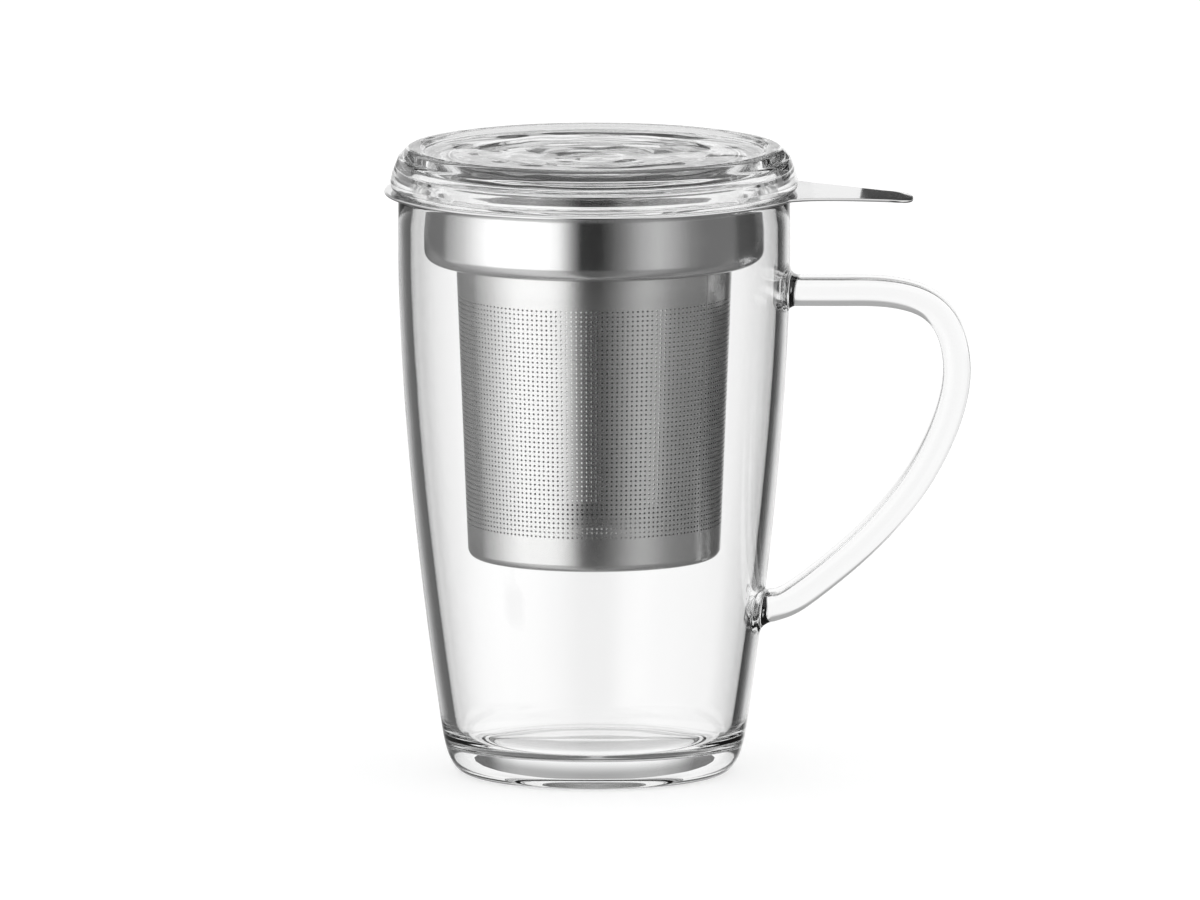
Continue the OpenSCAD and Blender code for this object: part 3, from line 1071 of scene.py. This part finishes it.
m, nt = new_mat("floor_pale")
out = node(nt, "ShaderNodeOutputMaterial")
p = node(nt, "ShaderNodeBsdfPrincipled")
p.inputs["Base Color"].default_value = (0.8, 0.8, 0.8, 1)
p.inputs["Roughness"].default_value = 0.6
p.inputs["Specular IOR Level"].default_value = 0.0
p.inputs["Emission Color"].default_value = (1, 1, 1, 1)
p.inputs["Emission Strength"].default_value = 0.3
nt.links.new(p.outputs[0], out.inputs["Surface"])
ground = plane("floor", [(-12, -12, -0.0001), (12, -12, -0.0001), (12, 12, -0.0001), (-12, 12, -0.0001)], [(0, 1, 2, 3)], m)
ground.visible_glossy = False
ground.visible_transmission = False

# The studio is a world that depends on direction only. Seen directly, and by
# diffuse light, it is plain white; steel and the totally reflecting edges of
# the glass see soft boxes and dark flags by azimuth (0 toward the camera,
# +90 = +X), and light that only passed through solid glass sees two flags.
def pick(nt, stops, source):
    r = node(nt, "ShaderNodeValToRGB")
    r.color_ramp.interpolation = "LINEAR"
    els = r.color_ramp.elements
    while len(els) > 1:
        els.remove(els[-1])
    for i, (a, v) in enumerate(stops):
        e = els[0] if i == 0 else els.new((a + 180) / 360)
        e.position = (a + 180) / 360
        e.color = (v, v, v, 1)
    nt.links.new(source, r.inputs[0])
    return r.outputs[0]


def math_node(nt, op, a, b=None, clamp=False):
    n = node(nt, "ShaderNodeMath", operation=op, use_clamp=clamp)
    for i, v in enumerate((a, b)):
        if v is None:
            continue
        if isinstance(v, (int, float)):
            n.inputs[i].default_value = v
        else:
            nt.links.new(v, n.inputs[i])
    return n.outputs[0]


def blend(nt, f, a, b):
    n = node(nt, "ShaderNodeMix", data_type="RGBA")
    for key, v in (("Factor", f), ("A", a), ("B", b)):
        if isinstance(v, tuple):
            n.inputs[key].default_value = v
        else:
            nt.links.new(v, n.inputs[key])
    return n.outputs["Result"]


# a small dark flag behind the tab, seen only in its polish
m, nt = new_mat("flag_dark")
out = node(nt, "ShaderNodeOutputMaterial")
em = node(nt, "ShaderNodeEmission")
em.inputs["Color"].default_value = (0.06, 0.06, 0.06, 1)
nt.links.new(em.outputs[0], out.inputs["Surface"])
flag = [(0.0605, 0.1365), (0.16, 0.1365), (0.16, 0.22), (0.070, 0.22), (0.0655, 0.170), (0.0625, 0.163), (0.0650, 0.158), (0.0610, 0.152),
        (0.0640, 0.147), (0.0600, 0.142)]
flag = plane("flag", [(x, 0.115, z) for x, z in flag], [tuple(range(len(flag)))], m)
flag.visible_camera = flag.visible_diffuse = flag.visible_shadow = flag.visible_transmission = False

world = bpy.data.worlds.new("studio")
world.use_nodes = True
nt = world.node_tree
nt.nodes.clear()
out = node(nt, "ShaderNodeOutputWorld")
co = node(nt, "ShaderNodeTexCoord")
sep = node(nt, "ShaderNodeSeparateXYZ")
nt.links.new(co.outputs["Generated"], sep.inputs[0])
az = math_node(nt, "ARCTAN2", sep.outputs[0], math_node(nt, "MULTIPLY", sep.outputs[1], -1.0))
unit = math_node(nt, "ADD", math_node(nt, "DIVIDE", az, 2 * math.pi), 0.5)
seen = pick(nt, [(-180, 1.0), (-173, 0.9), (-168, 0.42), (-162, 0.2), (-152, 0.12), (-120, 0.13), (-114, 0.4), (-98, 0.7),
                 (-84, 1.15), (-68, 1.55), (-38, 1.55), (-24, 1.2), (-15, 0.4), (-9, 0.03), (4, 0.03), (10, 0.09), (20, 0.24),
                 (32, 0.5), (43, 0.62), (54, 0.48), (68, 0.24), (80, 0.18), (106, 0.2), (113, 0.08), (135, 0.05), (152, 0.06),
                 (157, 0.2), (163, 0.75), (168, 1.0), (180, 1.0)], unit)
through = pick(nt, [(-180, 1.0), (-162, 1.0), (-156, 0.8), (-149, 0.3), (-134, 0.25), (-122, 1.0), (118, 1.0),
                    (130, 0.1), (147, 0.12), (153, 0.75), (159, 1.0), (180, 1.0)], unit)
white = (1.0, 1.0, 1.0, 1.0)


def between(nt, value, lo, hi):
    n = node(nt, "ShaderNodeMapRange", interpolation_type="SMOOTHSTEP")
    n.inputs["From Min"].default_value = lo
    n.inputs["From Max"].default_value = hi
    nt.links.new(value, n.inputs["Value"])
    return n.outputs[0]


up = sep.outputs[2]
side = math_node(nt, "GREATER_THAN", math_node(nt, "ABSOLUTE", az), 1.75)
# reflections: flags at eye level, a softer floor, a dark gap behind, white overhead
floor_tone = node(nt, "ShaderNodeVectorMath", operation="MULTIPLY_ADD")
floor_tone.inputs[1].default_value = (0.36, 0.36, 0.36)
floor_tone.inputs[2].default_value = (0.12, 0.12, 0.12)
nt.links.new(seen, floor_tone.inputs[0])
seen = blend(nt, between(nt, up, -0.24, -0.42), seen, floor_tone.outputs[0])
# the room behind the camera stays dark higher up
front = math_node(nt, "MULTIPLY", between(nt, math_node(nt, "ABSOLUTE", az), 0.95, 0.5), between(nt, up, 0.65, 0.45))
seen = blend(nt, math_node(nt, "MULTIPLY", between(nt, up, -0.05, 0.05), math_node(nt, "SUBTRACT", 1.0, front)), seen, white)
gap = math_node(nt, "MULTIPLY", between(nt, up, 0.165, 0.18), between(nt, up, 0.36, 0.33))
seen = blend(nt, math_node(nt, "MULTIPLY", math_node(nt, "MULTIPLY", gap, side), 0.85), seen, (0.04, 0.04, 0.04, 1.0))
# refractions: the flags, and a grey edge above the backdrop
above = math_node(nt, "MULTIPLY", math_node(nt, "MULTIPLY", between(nt, up, 0.10, 0.18), between(nt, up, 0.60, 0.45)), side)
through = blend(nt, math_node(nt, "MULTIPLY", above, 0.65), through, (0.1, 0.1, 0.1, 1.0))
through = blend(nt, between(nt, up, -0.19, -0.25), through, white)
through = blend(nt, between(nt, up, 0.45, 0.60), through, white)
lp = node(nt, "ShaderNodeLightPath")
# only the solid glass of the handle, lid and base shows the flags: two crossings
solid = math_node(nt, "LESS_THAN", lp.outputs["Transmission Depth"], 2.5)
through = blend(nt, solid, white, through)
glossy = math_node(nt, "MINIMUM", lp.outputs["Glossy Depth"], 1.0)
passed = math_node(nt, "MINIMUM", lp.outputs["Transmission Depth"], 1.0)
colour = blend(nt, passed, white, through)
colour = blend(nt, glossy, colour, seen)
colour = blend(nt, math_node(nt, "MINIMUM", lp.outputs["Diffuse Depth"], 1.0), colour, white)
bg = node(nt, "ShaderNodeBackground")
nt.links.new(colour, bg.inputs["Color"])
bg.inputs["Strength"].default_value = 1.0
nt.links.new(bg.outputs[0], out.inputs["Surface"])
bpy.context.scene.world = world
bpy.context.scene.view_settings.view_transform = "Standard"
bpy.context.scene.view_settings.look = "None"
bpy.context.scene.cycles.use_denoising = True
bpy.context.scene.cycles.max_bounces = 24
bpy.context.scene.cycles.transmission_bounces = 20
bpy.context.scene.cycles.glossy_bounces = 10
bpy.context.scene.cycles.transparent_max_bounces = 24
